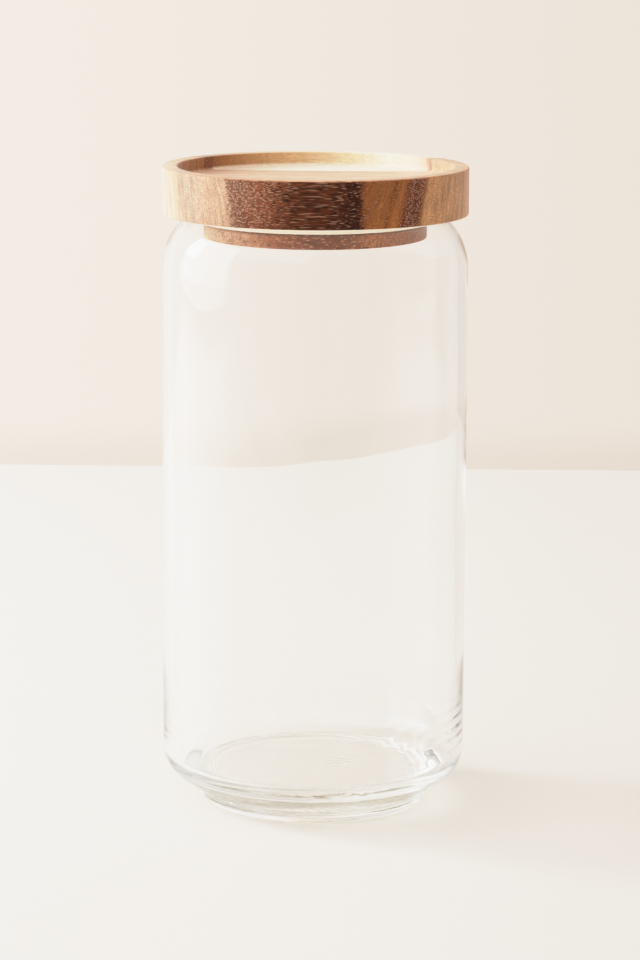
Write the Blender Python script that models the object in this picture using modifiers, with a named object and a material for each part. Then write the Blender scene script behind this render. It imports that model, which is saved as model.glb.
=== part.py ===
"""Glass storage jar with a lift-off wooden lid, for Blender 4.5. Metres, +Z up.

The jar is one turned body of clear glass: a straight wall, a rounded shoulder that runs in to a
fire-polished mouth, a rounded heel, and a small stepped foot that stands in the tray on top of
another jar's lid. The lid is a turned disc with that tray in its top. A smaller stepped disc is
glued under it, and a silicone ring sits in the groove between the two and seals in the mouth.

The origin is on the axis at the bottom of the foot.
"""

import math

import bpy

# ---------------------------------------------------------------- driving dimensions
BODY_RADIUS = 0.0510  # outside of the straight wall, and of the lid
TOTAL_HEIGHT = 0.2149  # foot to the top of the lid's rim
WALL = 0.0032  # glass, in the straight wall
FIT_GAP = 0.0003  # left between pieces that touch or nearly touch

# Jar
FLOOR_LEVEL = 0.0134  # inside floor, above the table
COVE_WIDTH = 0.0045  # rounding between the inside floor and wall
COVE_HEIGHT = 0.0040
SETTLE = 0.0010  # the wall is this much thicker just above the cove,
SETTLE_LEVEL = 0.0550  # and eases off to its own thickness up here
HEEL_LEVEL = 0.0186  # where the straight wall ends at the bottom
HEEL_RADIUS = 0.0120
HEEL_ANGLE = math.radians(53.3)  # how far the heel's arc turns before it runs straight in
HEEL_INNER_RADIUS = 0.0393  # the heel's inner edge, just above the foot
FOOT_RADIUS = 0.0380
FOOT_DRAFT = 0.0004  # the foot narrows by this much towards the table
FOOT_TOP = 0.0033
FOOT_EDGE = 0.0009  # rounding round the bottom of the foot
FOOT_RING_INNER = 0.0352  # inner edge of the flat ring that the jar stands on
PUNT_RADIUS = 0.0334  # where the slope inside that ring ends
PUNT_EDGE_RISE = 0.0012
PUNT_RISE = 0.0016  # hollow under the middle of the base
SHOULDER_LEVEL = 0.1803  # where the straight wall ends at the top
SHOULDER_WIDTH = 0.0138
SHOULDER_HEIGHT = 0.0190
LIP_WALL = 0.0024  # glass, at the mouth
MOUTH_RADIUS = 0.0392  # narrowest part of the mouth

# Lid disc
LID_THICKNESS = 0.01585
LID_TOP_EDGE = 0.0005  # rounding along the rim's two upper edges
LID_BOTTOM_EDGE = 0.0006
TRAY_RADIUS = 0.0457
TRAY_DEPTH = 0.0045
TRAY_COVE = 0.0014  # rounding where the tray's wall meets its floor

# Plug under the lid, and the seal round it
PLUG_RADIUS = 0.0370
PLUG_DEPTH = 0.0084  # from the underside of the lid to the bottom of the plug
PLUG_LIP = 0.0044
PLUG_EDGE = 0.0005
PLUG_CORE_RADIUS = 0.0352  # bottom of the groove that holds the seal
SEAL_RADIUS = MOUTH_RADIUS - FIT_GAP  # the upper rib, which meets the glass
SEAL_LOWER_RADIUS = 0.0378  # the lower rib, which guides the lid in
SEAL_HEIGHT = 0.0030
SEAL_VALLEY = 0.0005  # depth of the channel between them, below the lower rib
SEAL_EDGE = 0.0004

STEPS = 64  # flats round every turned piece
LID_UNDERSIDE = TOTAL_HEIGHT - LID_THICKNESS


# ---------------------------------------------------------------- outlines, as (radius, height)
def arc(centre, radii, start, end, steps):
    """Points on an ellipse's arc from start to end, both in degrees."""
    points = []
    for i in range(steps + 1):
        angle = math.radians(start + (end - start) * i / steps)
        r = centre[0] + radii[0] * math.cos(angle)
        z = centre[1] + radii[1] * math.sin(angle)
        points.append((r, z))
    return points


def half_round(first, last, steps):
    """A half circle from one point to the other, both left out, bulging to the left of the way."""
    mid_r = (first[0] + last[0]) / 2
    mid_z = (first[1] + last[1]) / 2
    along_r = (last[0] - first[0]) / 2
    along_z = (last[1] - first[1]) / 2
    points = []
    for i in range(1, steps):
        angle = math.pi * i / steps
        r = mid_r - along_r * math.cos(angle) - along_z * math.sin(angle)
        z = mid_z - along_z * math.cos(angle) + along_r * math.sin(angle)
        points.append((r, z))
    return points


def mouth_angle():
    """Degrees up the shoulder at which its round lip has the mouth's radius."""
    middle = MOUTH_RADIUS + LIP_WALL / 2 - (BODY_RADIUS - SHOULDER_WIDTH)
    return math.degrees(math.acos(middle / (SHOULDER_WIDTH - WALL / 2)))


def jar_outline():
    """From the middle of the inside floor, up, over the lip, and down to the middle underneath."""
    inner = BODY_RADIUS - WALL
    cove_middle = inner - SETTLE - COVE_WIDTH
    cove_top = FLOOR_LEVEL + COVE_HEIGHT
    shoulder = (BODY_RADIUS - SHOULDER_WIDTH, SHOULDER_LEVEL)
    top = mouth_angle()

    points = [(0.0, FLOOR_LEVEL)]
    points.append((cove_middle / 2, FLOOR_LEVEL))
    points += arc((cove_middle, cove_top), (COVE_WIDTH, COVE_HEIGHT), -90, 0, 6)
    for share in (0.25, 0.5, 0.75, 1.0):
        z = cove_top + (SETTLE_LEVEL - cove_top) * share
        points.append((inner - SETTLE * (1 - share) ** 2, z))
    shoulder_in = arc(shoulder, (SHOULDER_WIDTH - WALL, SHOULDER_HEIGHT - LIP_WALL), 0, top, 6)
    shoulder_out = arc(shoulder, (SHOULDER_WIDTH, SHOULDER_HEIGHT), top, 0, 7)
    points += shoulder_in
    points += half_round(shoulder_in[-1], shoulder_out[0], 6)
    points += shoulder_out

    heel_centre = (BODY_RADIUS - HEEL_RADIUS, HEEL_LEVEL)
    heel = arc(heel_centre, (HEEL_RADIUS, HEEL_RADIUS), 0, -math.degrees(HEEL_ANGLE), 7)
    points += heel
    run_in = heel[-1][0] - HEEL_INNER_RADIUS
    points.append((HEEL_INNER_RADIUS, heel[-1][1] - run_in / math.tan(HEEL_ANGLE)))
    points.append((FOOT_RADIUS, FOOT_TOP))

    edge = FOOT_RADIUS - FOOT_DRAFT - FOOT_EDGE
    points += arc((edge, FOOT_EDGE), (FOOT_EDGE, FOOT_EDGE), 0, -90, 3)
    points.append((FOOT_RING_INNER, 0.0))
    for share in (1.0, 0.5, 0.0):
        rise = PUNT_RISE - (PUNT_RISE - PUNT_EDGE_RISE) * share**2
        points.append((PUNT_RADIUS * share, rise))
    return points


def lid_outline():
    """From the middle of the tray, up its wall, over the rim and down to the middle underneath."""
    floor = TOTAL_HEIGHT - TRAY_DEPTH
    points = [(0.0, floor)]
    cove_centre = (TRAY_RADIUS - TRAY_COVE, floor + TRAY_COVE)
    points += arc(cove_centre, (TRAY_COVE, TRAY_COVE), -90, 0, 4)

    edge = LID_TOP_EDGE
    rim = TOTAL_HEIGHT - edge
    points += arc((TRAY_RADIUS + edge, rim), (edge, edge), 180, 90, 2)
    points += arc((BODY_RADIUS - edge, rim), (edge, edge), 90, 0, 2)
    edge = LID_BOTTOM_EDGE
    points += arc((BODY_RADIUS - edge, LID_UNDERSIDE + edge), (edge, edge), 0, -90, 2)
    points.append((0.0, LID_UNDERSIDE))
    return points


def plug_outline():
    """Down the plug: its core, which stands in the groove, then the lip under the seal."""
    top = LID_UNDERSIDE - FIT_GAP
    bottom = LID_UNDERSIDE - PLUG_DEPTH
    lip = bottom + PLUG_LIP
    points = [(0.0, top)]
    points.append((PLUG_CORE_RADIUS, top))
    points.append((PLUG_CORE_RADIUS, lip))
    points += arc((PLUG_RADIUS - PLUG_EDGE, lip - PLUG_EDGE), (PLUG_EDGE, PLUG_EDGE), 90, 0, 2)
    points += arc((PLUG_RADIUS - PLUG_EDGE, bottom + PLUG_EDGE), (PLUG_EDGE, PLUG_EDGE), 0, -90, 2)
    points.append((0.0, bottom))
    return points


def seal_outline():
    """The seal's section as a loop: up its bore, then down its two ribs."""
    top = LID_UNDERSIDE - FIT_GAP
    bottom = top - SEAL_HEIGHT
    middle = (top + bottom) / 2
    bore = PLUG_CORE_RADIUS + FIT_GAP
    edge = (SEAL_EDGE, SEAL_EDGE)
    points = [(bore, bottom)]
    points.append((bore, top))
    points += arc((SEAL_RADIUS - SEAL_EDGE, top - SEAL_EDGE), edge, 90, -60, 4)
    points.append((SEAL_LOWER_RADIUS - SEAL_VALLEY, middle))
    points += arc((SEAL_LOWER_RADIUS - SEAL_EDGE, bottom + SEAL_EDGE), edge, 60, -90, 4)
    return points


# ---------------------------------------------------------------- building
def clear_scene():
    for item in list(bpy.data.objects):
        bpy.data.objects.remove(item, do_unlink=True)


def material(name, colour, roughness, transmission=0.0):
    made = bpy.data.materials.new(name)
    made.use_nodes = True
    shader = made.node_tree.nodes["Principled BSDF"]
    shader.inputs["Base Color"].default_value = (*colour, 1.0)
    shader.inputs["Roughness"].default_value = roughness
    shader.inputs["Metallic"].default_value = 0.0
    shader.inputs["Transmission Weight"].default_value = transmission
    made.diffuse_color = (*colour, 1.0)
    return made


def turned(name, outline, finish, collection):
    """A piece turned about the Z axis from its outline, with its origin on that axis.

    An outline runs from the axis to the axis. One that stays clear of it is a ring's, and closes.
    """
    mesh = bpy.data.meshes.new(name)
    edges = [(i, i + 1) for i in range(len(outline) - 1)]
    if outline[0][0] > 0:
        edges.append((len(outline) - 1, 0))
    mesh.from_pydata([(r, 0.0, z) for r, z in outline], edges, [])
    piece = bpy.data.objects.new(name, mesh)
    collection.objects.link(piece)
    mesh.materials.append(finish)

    screw = piece.modifiers.new("turn", "SCREW")
    screw.axis = "Z"
    screw.angle = 2 * math.pi
    screw.steps = STEPS
    screw.render_steps = STEPS
    screw.use_merge_vertices = True
    screw.merge_threshold = 0.00001
    screw.use_smooth_shade = True
    return piece


def on_joint(name, level, children, collection):
    """An empty on the axis at that height, which carries a moving group."""
    empty = bpy.data.objects.new(name, None)
    empty.empty_display_size = BODY_RADIUS / 2
    empty.location = (0.0, 0.0, level)
    collection.objects.link(empty)
    for child in children:
        child.parent = empty
        child.matrix_parent_inverse = empty.matrix_basis.inverted()
    return empty


def build():
    clear_scene()
    jar_parts = bpy.data.collections.new("glass_storage_jar")
    bpy.context.scene.collection.children.link(jar_parts)

    glass = material("clear_glass", (0.93, 0.94, 0.93), 0.02, transmission=1.0)
    acacia = material("acacia", (0.38, 0.21, 0.12), 0.45)
    acacia_plug = material("acacia_plug", (0.36, 0.20, 0.12), 0.5)
    silicone = material("cream_silicone", (0.86, 0.76, 0.64), 0.55)

    turned("glass_jar", jar_outline(), glass, jar_parts)
    disc = turned("lid_disc", lid_outline(), acacia, jar_parts)
    plug = turned("lid_plug", plug_outline(), acacia_plug, jar_parts)
    seal = turned("silicone_seal", seal_outline(), silicone, jar_parts)

    turning = on_joint("lid_turn_axis", LID_UNDERSIDE, [disc, plug], jar_parts)
    lifting = on_joint("lid_lift_axis", LID_UNDERSIDE, [seal], jar_parts)
    turning.parent = lifting
    turning.matrix_parent_inverse = lifting.matrix_basis.inverted()


build()
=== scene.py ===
"""The looks of the glass storage jar: clear glass, an acacia lid and plug, and a silicone seal."""

import math

import bmesh
import bpy
from mathutils import Matrix, Vector, noise


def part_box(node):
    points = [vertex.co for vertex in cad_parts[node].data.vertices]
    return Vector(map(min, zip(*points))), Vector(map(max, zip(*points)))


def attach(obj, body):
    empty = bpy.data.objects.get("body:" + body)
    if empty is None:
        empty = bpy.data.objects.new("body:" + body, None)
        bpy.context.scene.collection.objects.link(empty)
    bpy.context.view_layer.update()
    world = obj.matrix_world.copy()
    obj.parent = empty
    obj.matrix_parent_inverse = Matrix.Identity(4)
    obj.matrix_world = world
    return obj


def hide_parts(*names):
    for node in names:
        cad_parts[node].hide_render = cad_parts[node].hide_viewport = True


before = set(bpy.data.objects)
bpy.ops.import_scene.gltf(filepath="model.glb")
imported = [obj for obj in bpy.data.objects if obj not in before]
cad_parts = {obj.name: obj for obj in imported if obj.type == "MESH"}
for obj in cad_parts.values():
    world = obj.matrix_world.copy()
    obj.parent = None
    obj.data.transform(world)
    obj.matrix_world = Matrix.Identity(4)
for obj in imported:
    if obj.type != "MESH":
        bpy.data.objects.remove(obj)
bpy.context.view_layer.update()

MM = 0.001

# ---------------------------------------------------------------- sizes read from the frame
jar_low, jar_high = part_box("glass_jar")
disc_low, disc_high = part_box("lid_disc")
plug_low, plug_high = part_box("lid_plug")
seal_low, seal_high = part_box("silicone_seal")

BODY_RADIUS = jar_high.x
LID_RADIUS = disc_high.x
LID_TOP = disc_high.z
LID_UNDERSIDE = disc_low.z
PLUG_RADIUS = plug_high.x
SEAL_RADIUS = seal_high.x

# ---------------------------------------------------------------- the turned outlines
WALL = 3.2 * MM
FLOOR_LEVEL = 13.4 * MM
COVE_WIDTH = 4.5 * MM
COVE_HEIGHT = 4.0 * MM
SETTLE = 1.0 * MM
SETTLE_LEVEL = 55.0 * MM
HEEL_LEVEL = 18.6 * MM
HEEL_RADIUS = 12.0 * MM
HEEL_ANGLE = 53.3  # degrees of arc, and then straight on to the foot
HEEL_INNER_RADIUS = 39.3 * MM
FOOT_RADIUS = 38.0 * MM
FOOT_DRAFT = 0.4 * MM
FOOT_TOP = 3.3 * MM
FOOT_EDGE = 0.9 * MM
FOOT_RING_INNER = 35.2 * MM
PUNT_RADIUS = 33.4 * MM
PUNT_EDGE_RISE = 1.2 * MM
PUNT_RISE = 1.6 * MM
SHOULDER_LEVEL = 180.3 * MM
SHOULDER_WIDTH = 13.8 * MM
SHOULDER_HEIGHT = 19.0 * MM
LIP_WALL = 2.4 * MM
MOUTH_RADIUS = 39.2 * MM

TRAY_RADIUS = 45.7 * MM
TRAY_DEPTH = 4.5 * MM
TRAY_COVE = 1.4 * MM
PLUG_LIP = 4.4 * MM
PLUG_CORE_RADIUS = 35.2 * MM
SEAL_GAP = 0.3 * MM
SEAL_LOWER_RADIUS = 37.8 * MM
SEAL_VALLEY = 0.5 * MM


def arc(centre, radii, start, end, steps):
    """Points on an ellipse's arc from start to end, both in degrees."""
    points = []
    for i in range(steps + 1):
        angle = math.radians(start + (end - start) * i / steps)
        x = centre[0] + radii[0] * math.cos(angle)
        points.append((x, centre[1] + radii[1] * math.sin(angle)))
    return points


def half_round(first, last, steps):
    """A half circle from one point to the other, both left out, bulging to the left of the way."""
    middle = ((first[0] + last[0]) / 2, (first[1] + last[1]) / 2)
    along = ((last[0] - first[0]) / 2, (last[1] - first[1]) / 2)
    points = []
    for i in range(1, steps):
        c, s = math.cos(math.pi * i / steps), math.sin(math.pi * i / steps)
        x = middle[0] - along[0] * c - along[1] * s
        points.append((x, middle[1] - along[1] * c + along[0] * s))
    return points


def straight(start, end, steps):
    """Points between two others, both left out, so that long stretches are evenly divided."""
    return [
        (start[0] + (end[0] - start[0]) * i / steps, start[1] + (end[1] - start[1]) * i / steps)
        for i in range(1, steps)
    ]


def curve(formula, steps):
    """The points formula(share) as share goes from 0, which is left out, to 1."""
    return [formula(i / steps) for i in range(1, steps + 1)]


def smooth(share):
    """A share from 0 to 1 with its two ends eased."""
    return share * share * (3 - 2 * share)


def jar_outline():
    """From the middle of the inside floor, up, over the lip, and down to the middle underneath."""
    inner = BODY_RADIUS - WALL
    shoulder = (BODY_RADIUS - SHOULDER_WIDTH, SHOULDER_LEVEL)
    middle = MOUTH_RADIUS + LIP_WALL / 2 - shoulder[0]
    top = math.degrees(math.acos(middle / (SHOULDER_WIDTH - WALL / 2)))

    points = [(0.0, FLOOR_LEVEL)]
    cove_middle = inner - SETTLE - COVE_WIDTH
    cove_top = FLOOR_LEVEL + COVE_HEIGHT
    points += straight(points[-1], (cove_middle, FLOOR_LEVEL), 64)
    points += arc((cove_middle, cove_top), (COVE_WIDTH, COVE_HEIGHT), -90, 0, 24)
    settle_height = SETTLE_LEVEL - cove_top
    points += curve(lambda t: (inner - SETTLE * (1 - t) ** 2, cove_top + settle_height * t), 60)
    points += straight(points[-1], (inner, SHOULDER_LEVEL), 80)
    shoulder_in = arc(shoulder, (SHOULDER_WIDTH - WALL, SHOULDER_HEIGHT - LIP_WALL), 0, top, 24)
    shoulder_out = arc(shoulder, (SHOULDER_WIDTH, SHOULDER_HEIGHT), top, 0, 28)
    points += shoulder_in
    points += half_round(shoulder_in[-1], shoulder_out[0], 14)
    points += shoulder_out
    points += straight(points[-1], (BODY_RADIUS, HEEL_LEVEL), 8)

    heel_middle = (BODY_RADIUS - HEEL_RADIUS, HEEL_LEVEL)
    heel = arc(heel_middle, (HEEL_RADIUS, HEEL_RADIUS), 0, -HEEL_ANGLE, 20)
    points += heel
    run_in = heel[-1][0] - HEEL_INNER_RADIUS
    heel_foot = (HEEL_INNER_RADIUS, heel[-1][1] - run_in / math.tan(math.radians(HEEL_ANGLE)))
    points += straight(heel[-1], heel_foot, 6)
    points.append(heel_foot)
    points += straight(heel_foot, (FOOT_RADIUS, FOOT_TOP), 3)
    points.append((FOOT_RADIUS, FOOT_TOP))

    edge = FOOT_RADIUS - FOOT_DRAFT - FOOT_EDGE
    points += straight(points[-1], (edge + FOOT_EDGE, FOOT_EDGE), 3)
    points += arc((edge, FOOT_EDGE), (FOOT_EDGE, FOOT_EDGE), 0, -90, 8)
    points += straight(points[-1], (FOOT_RING_INNER, 0.0), 4)
    points.append((FOOT_RING_INNER, 0.0))
    ring_to_punt = PUNT_RADIUS - FOOT_RING_INNER
    points += curve(lambda t: (FOOT_RING_INNER + ring_to_punt * t, PUNT_EDGE_RISE * smooth(t)), 8)
    crown = PUNT_RISE - PUNT_EDGE_RISE
    points += curve(lambda t: (PUNT_RADIUS * (1 - t), PUNT_RISE - crown * (1 - t) ** 2), 20)
    return points


def disc_outline():
    """From the middle of the tray, up its wall, over the rim and down to the middle underneath."""
    floor = LID_TOP - TRAY_DEPTH
    rim_edge = 0.5 * MM
    low_edge = 0.6 * MM
    low_middle = (LID_RADIUS - low_edge, LID_UNDERSIDE + low_edge)
    points = [(0.0, floor)]
    points += straight(points[-1], (TRAY_RADIUS - TRAY_COVE, floor), 16)
    points += arc((TRAY_RADIUS - TRAY_COVE, floor + TRAY_COVE), (TRAY_COVE, TRAY_COVE), -90, 0, 10)
    points += arc((TRAY_RADIUS + rim_edge, LID_TOP - rim_edge), (rim_edge, rim_edge), 180, 90, 6)
    points += straight(points[-1], (LID_RADIUS - rim_edge, LID_TOP), 4)
    points += arc((LID_RADIUS - rim_edge, LID_TOP - rim_edge), (rim_edge, rim_edge), 90, 0, 6)
    points += straight(points[-1], (LID_RADIUS, LID_UNDERSIDE + low_edge), 10)
    points += arc(low_middle, (low_edge, low_edge), 0, -90, 6)
    points += straight(points[-1], (0.0, LID_UNDERSIDE), 12)
    points.append((0.0, LID_UNDERSIDE))
    return points


def plug_outline():
    """Down the plug: its core, which the seal goes round, then the wider lip under the seal."""
    edge = 0.5 * MM
    lip = plug_low.z + PLUG_LIP
    points = [(0.0, plug_high.z)]
    points += straight(points[-1], (PLUG_CORE_RADIUS, plug_high.z), 8)
    points.append((PLUG_CORE_RADIUS, plug_high.z))
    points += straight(points[-1], (PLUG_CORE_RADIUS, lip), 5)
    points.append((PLUG_CORE_RADIUS, lip))
    points += arc((PLUG_RADIUS - edge, lip - edge), (edge, edge), 90, 0, 6)
    points += straight(points[-1], (PLUG_RADIUS, plug_low.z + edge), 5)
    points += arc((PLUG_RADIUS - edge, plug_low.z + edge), (edge, edge), 0, -90, 6)
    points += straight(points[-1], (0.0, plug_low.z), 12)
    points.append((0.0, plug_low.z))
    return points


def seal_outline():
    """The seal's section as a loop: up its bore, then down its two ribs and the valley between."""
    edge = 0.4 * MM
    bore = PLUG_CORE_RADIUS + SEAL_GAP
    middle = (seal_low.z + seal_high.z) / 2
    points = [(bore, seal_low.z)]
    points += straight(points[-1], (bore, seal_high.z), 4)
    points.append((bore, seal_high.z))
    points += arc((SEAL_RADIUS - edge, seal_high.z - edge), (edge, edge), 90, -60, 10)
    points.append((SEAL_LOWER_RADIUS - SEAL_VALLEY, middle))
    points += arc((SEAL_LOWER_RADIUS - edge, seal_low.z + edge), (edge, edge), 60, -90, 10)
    return points


def turned(name, outline, flats, shape=None):
    """A closed mesh turned about Z from an outline. shape(r, z, angle) may shift each point."""
    ring = outline[0][0] > 0
    bm = bmesh.new()
    rows = []
    for r, z in outline:
        if r <= 0:
            rows.append([bm.verts.new((0.0, 0.0, z))])
            continue
        row = []
        for i in range(flats):
            angle = 2 * math.pi * i / flats
            away, height = shape(r, z, angle) if shape else (r, z)
            row.append(bm.verts.new((away * math.cos(angle), away * math.sin(angle), height)))
        rows.append(row)
    pairs = list(zip(rows, rows[1:]))
    if ring:
        pairs.append((rows[-1], rows[0]))
    for upper, lower in pairs:
        for i in range(flats):
            j = (i + 1) % flats
            if len(upper) == 1:
                bm.faces.new((upper[0], lower[j], lower[i]))
            elif len(lower) == 1:
                bm.faces.new((upper[i], upper[j], lower[0]))
            else:
                bm.faces.new((upper[i], upper[j], lower[j], lower[i]))
    bmesh.ops.recalc_face_normals(bm, faces=bm.faces)
    mesh = bpy.data.meshes.new(name)
    bm.to_mesh(mesh)
    bm.free()
    mesh.shade_smooth()
    piece = bpy.data.objects.new(name, mesh)
    bpy.context.scene.collection.objects.link(piece)
    return piece


# ---------------------------------------------------------------- node helpers
class Nodes:
    """Builds the node tree of a material, or of the room, with short calls."""

    def __init__(self, owner):
        owner.use_nodes = True
        self.owner = owner
        self.tree = owner.node_tree
        self.shader = self.tree.nodes.get("Principled BSDF")

    def node(self, kind, inputs=None, **settings):
        made = self.tree.nodes.new(kind)
        for key, value in settings.items():
            setattr(made, key, value)
        for key, value in (inputs or {}).items():
            self.feed(value, made.inputs[key])
        return made

    def feed(self, value, socket):
        if isinstance(value, bpy.types.NodeSocket):
            self.tree.links.new(value, socket)
        else:
            socket.default_value = value

    def math(self, operation, *values):
        return self.node("ShaderNodeMath", dict(enumerate(values)), operation=operation).outputs[0]

    def times(self, value, *factors):
        for factor in factors:
            value = self.math("MULTIPLY", value, factor)
        return value

    def minus(self, a, b):
        return self.math("SUBTRACT", a, b)

    def most(self, a, b):
        return self.math("MAXIMUM", a, b)

    def scaled(self, value, factor, start):
        """start + value * factor"""
        return self.math("MULTIPLY_ADD", value, factor, start)

    def spread(self, value, low, high, at_low, at_high):
        """at_low below low, at_high above high, straight between."""
        inputs = {0: value, 1: low, 2: high, 3: at_low, 4: at_high}
        return self.node("ShaderNodeMapRange", inputs).outputs[0]

    def ease(self, value, low, high, at_low=0.0, at_high=1.0):
        """at_low below low, at_high above high, smooth between."""
        inputs = {0: value, 1: low, 2: high, 3: at_low, 4: at_high}
        return self.node("ShaderNodeMapRange", inputs, interpolation_type="SMOOTHSTEP").outputs[0]

    def ramp(self, value, stops):
        """A colour from (level, colour) stops, flat beyond the first and the last."""
        low = stops[0][0]
        span = stops[-1][0] - low
        share = self.math("DIVIDE", self.minus(value, low), span)
        made = self.node("ShaderNodeValToRGB", {0: share})
        elements = made.color_ramp.elements
        elements[0].color = stops[0][1]
        elements[1].color = stops[-1][1]
        for level, colour in stops[1:-1]:
            elements.new((level - low) / span).color = colour
        return made.outputs[0]

    def mix(self, share, a, b, blend="MIX"):
        made = self.node("ShaderNodeMix", data_type="RGBA", blend_type=blend)
        self.feed(share, made.inputs[0])
        self.feed(a, made.inputs[6])
        self.feed(b, made.inputs[7])
        return made.outputs[2]

    def axes(self, kind):
        """The X, Y and Z of the texture coordinates of one kind."""
        where = self.node("ShaderNodeTexCoord").outputs[kind]
        return self.node("ShaderNodeSeparateXYZ", {0: where}).outputs

    def stretched(self, scale, offset):
        """Object coordinates in units of scale's lengths, in metres, one for each axis."""
        where = self.node("ShaderNodeTexCoord").outputs["Object"]
        inputs = {"Vector": where, "Scale": tuple(1 / s for s in scale), "Location": offset}
        return self.node("ShaderNodeMapping", inputs).outputs[0]

    def noise_at(self, where, detail, roughness):
        inputs = {"Vector": where, "Scale": 1.0, "Detail": detail, "Roughness": roughness}
        return self.node("ShaderNodeTexNoise", inputs).outputs["Fac"]

    def noise(self, scale, detail, roughness, offset=(0.0, 0.0, 0.0)):
        return self.noise_at(self.stretched(scale, offset), detail, roughness)

    def swing(self, scale, detail, roughness, offset=(0.0, 0.0, 0.0)):
        """Noise that swings about 0."""
        return self.minus(self.noise(scale, detail, roughness, offset), 0.5)

    def output(self, colour, roughness, height=None, distance=0.0):
        """Feeds the shader, with a bump of distance where height is given."""
        self.feed(colour, self.shader.inputs["Base Color"])
        self.feed(roughness, self.shader.inputs["Roughness"])
        if height is not None:
            inputs = {"Height": height, "Distance": distance, "Strength": 1.0}
            bump = self.node("ShaderNodeBump", inputs)
            self.feed(bump.outputs[0], self.shader.inputs["Normal"])
        return self.owner


def rgb(red, green, blue):
    """A colour given as it is seen on a screen, 0 to 255, as the linear values a node takes."""
    linear = []
    for value in (red, green, blue):
        v = value / 255
        linear.append(v / 12.92 if v <= 0.04045 else ((v + 0.055) / 1.055) ** 2.4)
    return (*linear, 1.0)


# ---------------------------------------------------------------- wood
GRAIN_DEPTH = 0.04 * MM


def pores(n, spacing, length, offset, size):
    """Pores that run along the grain, which is X: 1 inside one, 0 outside."""
    where = n.stretched((length, spacing, spacing), offset)
    cell = n.node("ShaderNodeTexVoronoi", {"Vector": where, "Scale": 1.0, "Randomness": 1.0})
    return n.ease(cell.outputs["Distance"], size, size * 0.5)


def polish(n, sheen):
    """Oiled wood: little mirror reflection seen straight on, a soft sheen where it's seen edge on."""
    n.shader.inputs["Specular IOR Level"].default_value = 0.12
    n.shader.inputs["Sheen Weight"].default_value = sheen
    n.shader.inputs["Sheen Roughness"].default_value = 0.3
    n.shader.inputs["Sheen Tint"].default_value = (1.0, 0.93, 0.86, 1.0)


# The board's figure, in mm. X runs along the grain, and "across" runs across the growth rings, from
# the sapwood at the back to the darkest wood in front. A slant is a shift for each mm of height.
RING_TURN = 0.085
RING_FAN = 0.0014
RING_SLANT = 0.154
DARK_SLANT = -0.27
DARK_EDGE = (45.6, 46.7)
PALE_SLANT = 0.13
PALE_EDGE = (-28.0, -28.9)
SAP_LEVEL = -27.2
TRAY_EDGE = TRAY_RADIUS / MM + 0.3


class Board:
    """Where a point lies in the lid's board, and the noise that all of its figure shares."""

    def __init__(self, n):
        axes = n.axes("Object")
        self.x = n.times(axes[0], 1 / MM)
        y = n.times(axes[1], 1 / MM)
        self.z = n.times(n.minus(axes[2], LID_TOP), 1 / MM)
        self.radius = n.math("SQRT", n.scaled(self.x, self.x, n.times(y, y)))
        self.ragged = n.swing((3.0 * MM, 0.5 * MM, 0.5 * MM), 2.0, 0.6, (7.0, 3.0, 2.0))
        self.streaks = n.noise((7 * MM, 0.42 * MM, 0.45 * MM), 3.0, 0.6)
        self.tone = n.noise((16 * MM, 7 * MM, 5 * MM), 3.0, 0.6, (2.0, 5.0, 1.0))

        # Across the growth rings, which fan out, lean and wander a little
        wander = n.swing((40 * MM, 9 * MM, 20 * MM), 2.0, 0.5)
        ripple = n.swing((14 * MM, 1.6 * MM, 3.0 * MM), 3.0, 0.6)
        turn = n.minus(RING_TURN, n.times(y, RING_FAN))
        upright = n.minus(n.times(y, -1.0), n.times(self.x, turn))
        upright = n.scaled(wander, 1.6, upright)
        upright = n.scaled(ripple, 0.9, upright)
        self.across = n.scaled(self.z, RING_SLANT, upright)

        # Along the dark wood, and along the board to its pale left end
        self.along_dark = n.scaled(ripple, 3.0, n.scaled(self.z, DARK_SLANT, self.x))
        self.along_pale = n.scaled(self.ragged, 7.0, n.scaled(self.z, PALE_SLANT, self.x))
        self.in_dark = n.ease(n.scaled(self.ragged, 2.4, upright), *DARK_EDGE)

        # The sapwood starts sharply on the left and softly on the right
        edge_width = n.ease(self.x, 10.0, 32.0, 0.6, 6.6)
        in_sap = n.math("DIVIDE", n.minus(self.across, SAP_LEVEL), edge_width)
        self.in_sap = n.ease(in_sap, 1.0, -1.0)
        self.not_sap = n.minus(1.0, self.in_sap)
        self.on_wall = n.ease(self.z, -4.3, -3.6)


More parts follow.
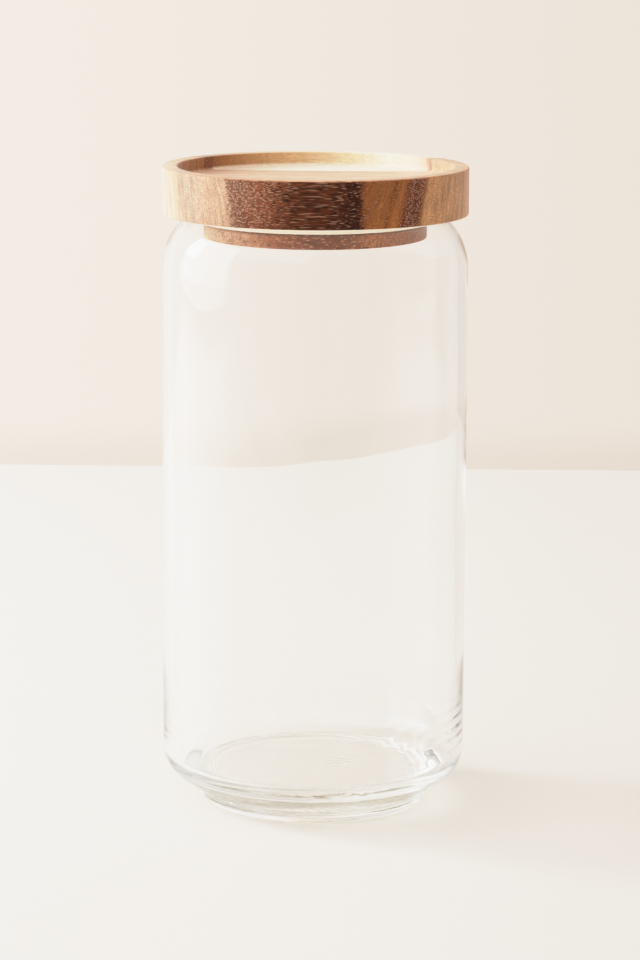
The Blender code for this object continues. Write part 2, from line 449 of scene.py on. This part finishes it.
def heartwood(n, at):
    """Tan wood with a dark band and a golden part, and the darkest wood in front."""
    heart = n.ramp(
        at.across,
        [
            (-24.0, rgb(186, 134, 96)),
            (-20.0, rgb(194, 146, 108)),
            (-8.0, rgb(204, 158, 122)),
            (5.0, rgb(200, 151, 111)),
            (12.0, rgb(197, 149, 109)),
            (20.0, rgb(191, 146, 109)),
            (26.0, rgb(197, 149, 109)),
            (30.0, rgb(199, 150, 108)),
            (30.9, rgb(160, 108, 70)),
            (31.7, rgb(108, 60, 39)),
            (34.0, rgb(101, 55, 36)),
            (36.2, rgb(112, 61, 39)),
            (37.2, rgb(146, 91, 50)),
            (38.4, rgb(164, 106, 63)),
            (39.6, rgb(126, 72, 36)),
            (40.4, rgb(146, 92, 52)),
            (41.8, rgb(160, 102, 60)),
            (43.0, rgb(150, 95, 55)),
            (45.0, rgb(133, 79, 43)),
        ],
    )
    dark = n.ramp(
        at.along_dark,
        [
            (-28.0, rgb(114, 76, 58)),
            (-22.0, rgb(118, 76, 54)),
            (-16.0, rgb(120, 71, 47)),
            (-11.0, rgb(111, 64, 40)),
            (-6.0, rgb(87, 46, 27)),
            (0.0, rgb(79, 40, 22)),
            (6.0, rgb(79, 40, 22)),
            (10.0, rgb(74, 38, 22)),
            (12.5, rgb(62, 30, 18)),
            (19.0, rgb(54, 25, 14)),
        ],
    )
    return n.mix(at.in_dark, heart, dark)


def pale_end(n, at, colour):
    """Pale wood at the left end of the board, with a sharp edge against the dark wood."""
    pale = n.ramp(
        at.along_pale,
        [
            (-50.0, rgb(226, 190, 166)),
            (-46.5, rgb(218, 177, 152)),
            (-44.5, rgb(184, 154, 134)),
            (-40.0, rgb(184, 153, 134)),
            (-37.5, rgb(203, 161, 137)),
            (-32.5, rgb(201, 160, 134)),
            (-29.5, rgb(192, 156, 130)),
        ],
    )
    share = n.times(n.ease(at.along_pale, *PALE_EDGE), n.ease(at.across, -12.0, 4.0))
    return n.mix(share, colour, pale)


def sapwood(n, at, colour):
    """Cream sapwood at the back, browner at the left of the tray's wall and paler on its floor."""
    wall = n.ramp(
        at.x,
        [
            (-38.0, rgb(140, 92, 62)),
            (-30.0, rgb(168, 120, 82)),
            (-20.0, rgb(196, 152, 110)),
            (-4.0, rgb(224, 188, 146)),
            (8.0, rgb(240, 214, 180)),
            (24.0, rgb(252, 238, 212)),
            (40.0, rgb(236, 204, 180)),
        ],
    )
    floor = n.ramp(
        at.x,
        [
            (-30.0, rgb(238, 214, 190)),
            (-5.0, rgb(246, 236, 216)),
            (30.0, rgb(250, 226, 204)),
        ],
    )
    sap = n.mix(n.ease(at.z, -3.3, -4.3), wall, floor)
    colour = n.mix(at.in_sap, colour, sap)

    # A dark line where the heartwood starts, wider at the left and faint on the tray's floor
    line_end = n.ease(at.x, -22.0, -36.0, -26.6, -24.4)
    rise = n.ease(n.scaled(at.ragged, 3.0, at.across), -28.6, -26.8)
    fall = n.ease(n.minus(at.across, line_end), 0.9, 0.0)
    line = n.times(rise, fall, n.scaled(at.on_wall, 0.6, 0.1))
    return n.mix(line, colour, rgb(104, 62, 42))


def tray_wood(n, at, colour):
    """The tray's heartwood is paler on its floor and at the right, and painted shade darkens the
    wall's left.
    """
    in_tray = n.times(n.ease(at.radius, TRAY_EDGE + 0.8, TRAY_EDGE), at.not_sap)
    on_floor = n.ease(at.z, -3.6, -4.4, 0.0, 0.4)
    # Paler wood on the tray's floor and towards its right
    paler_share = n.scaled(n.ease(at.x, 22.0, 38.0), 0.55, on_floor)
    colour = n.mix(n.times(in_tray, paler_share), colour, rgb(234, 198, 174))
    # Painted shade: the left of the tray's wall, which faces away from the window, is darkened to
    # red-brown
    red = n.times(in_tray, at.on_wall, n.ease(at.x, -26.0, -36.0, 0.0, 0.5))
    return n.mix(red, colour, rgb(132, 78, 50))


def grain(n, at):
    """A grey to multiply by: fine growth lines, streaks along the grain, slow changes of tone."""
    # The lines are long along X, shorter upwards, and close together across the rings
    place = {0: n.times(at.x, 0.03), 1: n.times(at.across, 1.5), 2: n.times(at.z, 0.10)}
    lines = n.noise_at(n.node("ShaderNodeCombineXYZ", place).outputs[0], 3.0, 0.6)
    value = n.times(n.minus(lines, 0.5), 1.5)
    value = n.scaled(n.minus(at.tone, 0.5), 0.40, value)
    value = n.scaled(value, n.scaled(at.in_sap, -0.8, 1.0), 1.0)
    in_middle = n.times(at.in_dark, n.ease(at.along_pale, -27.0, -12.0))
    value = n.scaled(n.times(n.minus(at.streaks, 0.5), in_middle), 4.2, value)
    value = n.scaled(at.ragged, 0.8, value)
    return n.node("ShaderNodeCombineColor", {0: value, 1: value, 2: value}).outputs[0]


def board_pores(n, at):
    """Long pores everywhere but in the sapwood, and short ones crowded where the wood turns dark."""
    fine = pores(n, 0.46 * MM, 6.0 * MM, (0.0, 0.0, 0.0), 0.34)
    coarse = pores(n, 0.62 * MM, 10.0 * MM, (3.7, 1.3, 8.1), 0.35)
    long = n.times(n.most(n.times(fine, 0.6), coarse), n.ease(at.tone, 0.15, 0.48))
    short = pores(n, 0.5 * MM, 2.2 * MM, (1.1, 6.2, 2.3), 0.42)
    in_band = n.times(n.ease(at.across, 36.6, 35.4), n.ease(at.x, 20.0, 28.0))
    crowded = n.most(n.times(at.in_dark, n.ease(at.along_dark, -5.0, -14.0)), in_band)
    return n.times(n.most(long, n.times(short, 0.85, crowded)), at.not_sap)


def pore_colour(n, at, colour):
    """Pores are pale where the wood is dark, and brown where it is pale."""
    darkness = n.ease(n.node("ShaderNodeRGBToBW", {0: colour}).outputs[0], 0.145, 0.120)
    chalky = n.ease(at.along_dark, -10.0, -20.0, 0.36, 0.52)
    chalky = n.most(chalky, n.ease(at.across, 38.0, 36.0, 0.0, 0.46))
    chalk = n.mix(n.ease(chalky, 0.3, 0.4), rgb(196, 134, 96), rgb(226, 184, 160))
    brown = n.mix(0.75, colour, rgb(182, 158, 138), "MULTIPLY")
    return n.mix(darkness, brown, n.mix(chalky, colour, chalk))


def acacia_material():
    """One board of acacia: cream sapwood, tan heartwood, and dark bands, with open pores."""
    n = Nodes(bpy.data.materials.new("acacia_board"))
    at = Board(n)
    figure = grain(n, at)
    colour = heartwood(n, at)
    colour = pale_end(n, at, colour)
    colour = sapwood(n, at, colour)
    colour = tray_wood(n, at, colour)
    colour = n.mix(1.0, colour, figure, "MULTIPLY")
    in_pore = board_pores(n, at)
    colour = n.mix(in_pore, colour, pore_colour(n, at, colour))

    # The rim's top in front and the underside are paler than the side
    rim = n.times(n.ease(at.z, -0.5, -0.1), n.ease(at.across, 26.0, 34.0, 0.0, 0.9))
    colour = n.mix(rim, colour, n.mix(1.0, rgb(200, 146, 110), figure, "MULTIPLY"))
    depth = n.times(at.z, -MM / (LID_TOP - LID_UNDERSIDE))
    colour = n.mix(n.ease(depth, 0.985, 0.998), colour, rgb(247, 240, 230))

    height = n.minus(n.times(at.streaks, 0.5), in_pore)
    roughness = n.scaled(in_pore, 0.10, n.scaled(at.streaks, 0.14, 0.38))
    polish(n, 0.45)
    return n.output(colour, roughness, height, GRAIN_DEPTH)


def plug_material():
    """The plug's own offcut: redder, with dark and golden patches and small pores."""
    n = Nodes(bpy.data.materials.new("acacia_plug_wood"))
    axes = n.axes("Object")
    x = n.times(axes[0], 1 / MM)
    above_bottom = n.times(n.minus(axes[2], plug_low.z), 1 / MM)
    patches = n.swing((9 * MM, 7 * MM, 8 * MM), 3.0, 0.6, (4.0, 2.0, 0.0))
    streaks = n.noise((5 * MM, 0.7 * MM, 0.7 * MM), 4.0, 0.6, (1.0, 0.0, 5.0))
    blotch = n.noise((3.2 * MM, 2.4 * MM, 1.6 * MM), 3.0, 0.6, (3.0, 8.0, 2.0))
    in_pore = pores(n, 0.6 * MM, 2.4 * MM, (5.0, 5.0, 5.0), 0.40)
    colour = n.ramp(
        n.scaled(patches, 16.0, x),
        [
            (-37.0, rgb(214, 176, 146)),
            (-26.0, rgb(206, 160, 128)),
            (-16.0, rgb(168, 100, 62)),
            (-8.0, rgb(140, 70, 36)),
            (2.0, rgb(114, 50, 22)),
            (9.0, rgb(122, 60, 28)),
            (18.0, rgb(178, 108, 62)),
            (26.0, rgb(158, 90, 56)),
            (36.0, rgb(138, 78, 52)),
        ],
    )
    colour = n.mix(n.ease(streaks, 0.42, 0.66, 0.0, 0.65), colour, rgb(88, 42, 25))
    colour = n.mix(n.ease(blotch, 0.52, 0.66, 0.0, 0.5), colour, rgb(84, 38, 22))
    colour = n.mix(n.times(in_pore, 0.5), colour, rgb(226, 168, 134))
    colour = n.mix(n.ease(above_bottom, 0.12, 0.02), colour, rgb(232, 212, 184))
    height = n.minus(n.times(streaks, 0.5), in_pore)
    polish(n, 0.15)
    return n.output(colour, n.scaled(streaks, 0.16, 0.42), height, GRAIN_DEPTH)


# ---------------------------------------------------------------- silicone and glass
SILICONE_PAINTED_GLOW = 0.2
SILICONE_BUMP = 0.02 * MM


def silicone_material():
    """Cream silicone. A little painted glow lights the seal in the lid's shade, for light spread in
    the milky rubber.
    """
    n = Nodes(bpy.data.materials.new("cream_silicone"))
    cloud = n.noise((6 * MM, 6 * MM, 3 * MM), 3.0, 0.5)
    speck = n.noise((0.5 * MM, 0.5 * MM, 0.5 * MM), 2.0, 0.6)
    colour = n.mix(cloud, rgb(250, 230, 206), rgb(254, 236, 214))
    # Painted glow: a little emission brightens the seal, which sits in the lid's shade
    n.shader.inputs["Emission Color"].default_value = rgb(250, 226, 200)
    n.shader.inputs["Emission Strength"].default_value = SILICONE_PAINTED_GLOW
    n.shader.inputs["Specular IOR Level"].default_value = 0.3
    return n.output(colour, n.scaled(speck, 0.2, 0.4), speck, SILICONE_BUMP)


GLASS_IOR = 1.5
GLASS_BUMP = 0.02 * MM
GLASS_HAZE = 0.02
GLASS_BODY = (0.58, 0.68, 0.72, 1.0)
GLASS_DENSITY = 3.0  # per metre: the colour only shows where light runs a long way inside the wall


def glass_material():
    """Clear soda-lime glass with the faint waviness and handling haze of a real jar."""
    n = Nodes(bpy.data.materials.new("clear_jar_glass"))
    n.shader.inputs["Transmission Weight"].default_value = 1.0
    n.shader.inputs["IOR"].default_value = GLASS_IOR
    waviness = n.noise((26 * MM, 26 * MM, 60 * MM), 2.0, 0.5)
    haze = n.noise((14 * MM, 14 * MM, 22 * MM), 4.0, 0.6, (9.0, 2.0, 1.0))
    colour = n.mix(haze, (0.988, 0.993, 0.990, 1.0), (0.998, 0.999, 0.998, 1.0))
    roughness = n.ease(haze, 0.55, 0.85, 0.0, GLASS_HAZE)
    inside = {"Color": GLASS_BODY, "Density": GLASS_DENSITY}
    absorbing = n.node("ShaderNodeVolumeAbsorption", inside)
    n.feed(absorbing.outputs[0], n.tree.nodes["Material Output"].inputs["Volume"])
    return n.output(colour, roughness, waviness, GLASS_BUMP)


# ---------------------------------------------------------------- pieces
# Slow swelling of the jar's inside wall, most of all on the right
SWELL = 0.28 * MM
SWELL_MIDDLE = 115 * MM
SWELL_LENGTH = 100 * MM
SWELL_BOTTOM = 25 * MM
SWELL_TOP = 175 * MM
SWELL_FADE_IN = 25 * MM
SWELL_FADE_OUT = 20 * MM
SWELL_SIDE = 0.5  # the swelling is gone where X / radius is less than -0.5
DRIFT = 0.05 * MM
DRIFT_HEIGHT = 60 * MM
DRIFT_ROUND = 2.2  # radius of the circle walked through the noise, in its own units
DRIFT_CLOSER = 1.3

# Close ripples low on the right
RIPPLE = 0.05 * MM
RIPPLE_PITCH = 3.6 * MM
RIPPLE_LEVEL = 25 * MM
RIPPLE_REACH = 14 * MM
RIPPLE_SLOPE = 9.0  # radians of wave for each radian round the jar
RIPPLE_UNEVEN = 3.0  # radians of wave
RIPPLE_ANGLE = -0.25

# Mould rings in the inside floor
RINGS = 0.035 * MM
RINGS_PITCH = 3.0 * MM
RINGS_MIDDLE = (8 * MM, -14 * MM)
RINGS_REACH = 18 * MM
RINGS_UNEVEN = 1.2 * MM
RINGS_UNEVEN_LENGTH = 6 * MM
RINGS_LIMIT = 38 * MM


def floor_rings(r, angle):
    """How far the mould rings raise the inside floor at a point."""
    x = r * math.cos(angle) - RINGS_MIDDLE[0]
    y = r * math.sin(angle) - RINGS_MIDDLE[1]
    uneven = noise.noise(Vector((x, y, 0.0)) / RINGS_UNEVEN_LENGTH)
    away = math.hypot(x, y) + RINGS_UNEVEN * uneven
    wave = math.sin(2 * math.pi * away / RINGS_PITCH)
    return RINGS * wave * max(0.0, 1 - away / RINGS_REACH)


def wall_waves(z, angle):
    """How far the inside wall stands out from true at a point: swelling, drift and ripples."""
    fade = min(1.0, (z - SWELL_BOTTOM) / SWELL_FADE_IN, (SWELL_TOP - z) / SWELL_FADE_OUT)
    side = smooth(min(1.0, max(0.0, (math.cos(angle) + SWELL_SIDE) / (1 + SWELL_SIDE))))
    swell = SWELL * math.sin(2 * math.pi * (z - SWELL_MIDDLE) / SWELL_LENGTH) * side
    round_x, round_y = DRIFT_ROUND * math.cos(angle), DRIFT_ROUND * math.sin(angle)
    around = Vector((round_x, round_y, z / DRIFT_HEIGHT))
    drift = DRIFT * noise.noise(around * DRIFT_CLOSER)
    wave = 2 * math.pi * z / RIPPLE_PITCH - RIPPLE_SLOPE * angle
    wave += RIPPLE_UNEVEN * noise.noise(around)
    ripple = RIPPLE * math.sin(wave) * max(0.0, math.cos(angle - RIPPLE_ANGLE)) ** 3
    ripple *= max(0.0, 1 - abs(z - RIPPLE_LEVEL) / RIPPLE_REACH)
    return (swell + drift) * max(0.0, fade) + ripple


def wavy_glass(r, z, angle):
    """Moulded glass isn't perfectly true: its inside is off by up to a few tenths of a millimetre."""
    if abs(z - FLOOR_LEVEL) < 0.01 * MM and r <= RINGS_LIMIT:
        return r, z + floor_rings(r, angle)
    if r <= BODY_RADIUS - 0.5 * WALL and FLOOR_LEVEL + COVE_HEIGHT < z < SWELL_TOP:
        return r + wall_waves(z, angle), z
    return r, z


def build_pieces():
    """Each piece stands for one CAD node, which it hides, and rides on that node's body."""
    jar = turned("jar_glass", jar_outline(), 256, wavy_glass)
    jar.data.materials.append(glass_material())
    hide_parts("glass_jar")
    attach(jar, "jar")

    board = turned("lid_board", disc_outline(), 256)
    board.data.materials.append(acacia_material())
    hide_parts("lid_disc")
    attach(board, "lid")

    plug = turned("lid_plug_wood", plug_outline(), 192)
    plug.data.materials.append(plug_material())
    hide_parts("lid_plug")
    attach(plug, "lid")

    seal = turned("seal_ring", seal_outline(), 192)
    seal.data.materials.append(silicone_material())
    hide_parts("silicone_seal")
    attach(seal, "seal")


# ---------------------------------------------------------------- camera, floor and light
# Turns in radians, lens in mm
CAMERA_AWAY = 1252.7 * MM
CAMERA_HEIGHT = 340.5 * MM
CAMERA_SIDE = 9.6 * MM
CAMERA_PITCH = 0.18282
CAMERA_YAW = -0.00609
CAMERA_ROLL = 0.0046
CAMERA_LENS = 141.98


def build_camera():
    """A long lens a little above the lid, pitched down at the jar."""
    ahead = Vector((math.sin(CAMERA_YAW), math.cos(CAMERA_YAW), 0.0))
    right = Vector((math.cos(CAMERA_YAW), -math.sin(CAMERA_YAW), 0.0))
    down = math.sin(CAMERA_PITCH)
    flat = math.cos(CAMERA_PITCH)
    view = ahead * flat - Vector((0.0, 0.0, down))
    up = ahead * down + Vector((0.0, 0.0, flat))
    rolled_right = right * math.cos(CAMERA_ROLL) + up * math.sin(CAMERA_ROLL)
    rolled_up = up * math.cos(CAMERA_ROLL) - right * math.sin(CAMERA_ROLL)
    data = bpy.data.cameras.new("camera")
    data.lens = CAMERA_LENS
    camera = bpy.data.objects.new("camera", data)
    turn = Matrix((rolled_right, rolled_up, -view)).transposed().to_4x4()
    place = Matrix.Translation((CAMERA_SIDE, -CAMERA_AWAY, CAMERA_HEIGHT))
    camera.matrix_world = place @ turn
    bpy.context.scene.collection.objects.link(camera)
    bpy.context.scene.camera = camera


# The room's brightness by direction. Each span is where it changes, as the direction's X, Y or Z
ROOM_COLOUR = (1.0, 0.93, 0.868, 1.0)
WALL_COLOUR = (1.12, 0.925, 0.785, 1.0)
WALL_SPAN = (0.75, 0.97)
ROOM_LEFT = 1.32
ROOM_RIGHT = 0.85
SIDE_SPAN = (-0.30, 0.14)
BEHIND_CAMERA = 0.72
BEHIND_SPAN = (-0.75, -0.05)
# Painted shade: the wall is darkened along its foot, where it meets the table
WALL_FOOT_PAINTED_SHADE = 0.88
WALL_FOOT_SHADE_SPAN = (-0.1785, -0.164)

# The lights, in metres and watts
DAYLIGHT = (1.0, 0.99, 0.97)
WINDOW_POWER = 8.5
WINDOW_PLACE = (-1.1, 0.1, 0.55)
WINDOW_AIM = (0.0, 0.1, 0.55)
WINDOW_SIZE = (1.04, 1.04)
CARD_COLOUR = (1.0, 0.99, 0.98)
CARD_POWER = 30.0
CARD_PLACE = (-1.1, 0.1, 0.66)
CARD_AIM = (0.0, 0.1, 0.66)
CARD_SIZE = (0.96, 0.82)
PANE_POWER = 8.0
PANE_PLACE = (-1.15, 0.45, 0.62)
PANE_AIM = (0.0, 0.0, 0.05)
PANE_SIZE = (0.3, 0.3)
CEILING_COLOUR = (1.0, 0.98, 0.95)
CEILING_POWER = 5.0
CEILING_PLACE = (-0.5, -0.7, 1.5)
CEILING_AIM = (0.0, 0.0, 0.1)
CEILING_SIZE = (1.6, 1.6)

CURVE_KNEE = 0.6
CURVE_TOP = 0.95
CURVE_REACH = 3.4
CURVE_POINTS = 12
BOUNCES = 160

TABLE_HALF_WIDTH = 4.0
TABLE_BACK = 623 * MM
TABLE_FRONT = -550 * MM
TABLE_TURN = math.radians(-1.3)
TABLE_DROP = 0.02 * MM  # the foot's flat ring just clears the table, as glass on a real table does


def build_table():
    """A pale table top, made a little darker to the right by painted shade, whose back edge stands
    against the wall.
    """
    n = Nodes(bpy.data.materials.new("pale_table"))
    cloud = n.noise((0.9, 0.6, 1.0), 3.0, 0.5)
    colour = n.mix(cloud, rgb(236, 231, 224), rgb(239, 234, 227))
    # Painted shade: the table darkens towards the right, away from the window
    colour = n.mix(n.ease(n.axes("Object")[0], -0.09, 0.13), colour, rgb(232, 225, 218))
    material = n.output(colour, 0.55)
    half = TABLE_HALF_WIDTH
    corners = [(-half, TABLE_FRONT), (half, TABLE_FRONT), (half, TABLE_BACK), (-half, TABLE_BACK)]
    bm = bmesh.new()
    bm.faces.new([bm.verts.new((x, y, -TABLE_DROP)) for x, y in corners])
    mesh = bpy.data.meshes.new("table_top")
    bm.to_mesh(mesh)
    bm.free()
    mesh.materials.append(material)
    table = bpy.data.objects.new("table_top", mesh)
    table.rotation_euler = (0.0, 0.0, TABLE_TURN)
    bpy.context.scene.collection.objects.link(table)


def area_light(name, place, aim, size, power, colour):
    """A rectangular light that faces aim from its place."""
    data = bpy.data.lights.new(name, "AREA")
    data.shape = "RECTANGLE"
    data.size, data.size_y = size
    data.energy = power
    data.color = colour
    light = bpy.data.objects.new(name, data)
    light.location = place
    light.rotation_euler = (Vector(aim) - Vector(place)).to_track_quat("-Z", "Y").to_euler()
    bpy.context.scene.collection.objects.link(light)
    return light


def build_room():
    """A room seen as a soft sky: pale wall behind, brighter towards the window on the left, with
    painted shade along the wall's foot.
    """
    n = Nodes(bpy.data.worlds.new("studio"))
    x, y, z = n.axes("Generated")
    side = n.spread(x, *SIDE_SPAN, ROOM_LEFT, ROOM_RIGHT)
    front = n.ease(y, *BEHIND_SPAN, BEHIND_CAMERA, 1.0)
    # Painted shade along the wall's foot
    foot = n.ease(z, *WALL_FOOT_SHADE_SPAN, WALL_FOOT_PAINTED_SHADE, 1.0)
    sky = n.tree.nodes["Background"]
    n.feed(n.mix(n.ease(y, *WALL_SPAN), ROOM_COLOUR, WALL_COLOUR), sky.inputs["Color"])
    n.feed(n.times(side, front, foot), sky.inputs["Strength"])
    bpy.context.scene.world = n.owner


def build_lights():
    """A large and a small window at the left, a card that the gloss alone sees, and a ceiling."""
    area_light("window_left", WINDOW_PLACE, WINDOW_AIM, WINDOW_SIZE, WINDOW_POWER, DAYLIGHT)
    card = area_light("window_card", CARD_PLACE, CARD_AIM, CARD_SIZE, CARD_POWER, CARD_COLOUR)
    card.visible_diffuse = False
    card.visible_transmission = False
    area_light("window_pane", PANE_PLACE, PANE_AIM, PANE_SIZE, PANE_POWER, DAYLIGHT)
    area_light("ceiling", CEILING_PLACE, CEILING_AIM, CEILING_SIZE, CEILING_POWER, CEILING_COLOUR)


def soft_shoulder():
    """The camera's response: straight to mid tones, then a soft roll-off that never quite clips."""
    view = bpy.context.scene.view_settings
    view.view_transform = "Standard"
    view.use_curve_mapping = True
    view.curve_mapping.clip_max_x = 10.0
    view.curve_mapping.clip_max_y = 10.0
    response = view.curve_mapping.curves[3]
    response.points[0].location = (0.0, 0.0)
    response.points[1].location = (CURVE_KNEE, CURVE_KNEE)
    span = CURVE_TOP - CURVE_KNEE
    for i in range(1, CURVE_POINTS + 1):
        past_knee = CURVE_REACH * (i / CURVE_POINTS) ** 2
        seen = CURVE_KNEE + span * (1 - math.exp(-past_knee / span))
        response.points.new(CURVE_KNEE + past_knee, seen)
    for point in response.points:
        point.handle_type = "VECTOR"
    view.curve_mapping.update()


def trace_deeply():
    """Light is guided round inside the jar's thick base, so a ray may need very many bounces."""
    cycles = bpy.context.scene.cycles
    cycles.max_bounces = BOUNCES
    cycles.transmission_bounces = BOUNCES
    cycles.glossy_bounces = BOUNCES
    cycles.diffuse_bounces = 6
    cycles.blur_glossy = 0.0


soft_shoulder()
trace_deeply()
build_camera()
build_pieces()
build_table()
build_room()
build_lights()
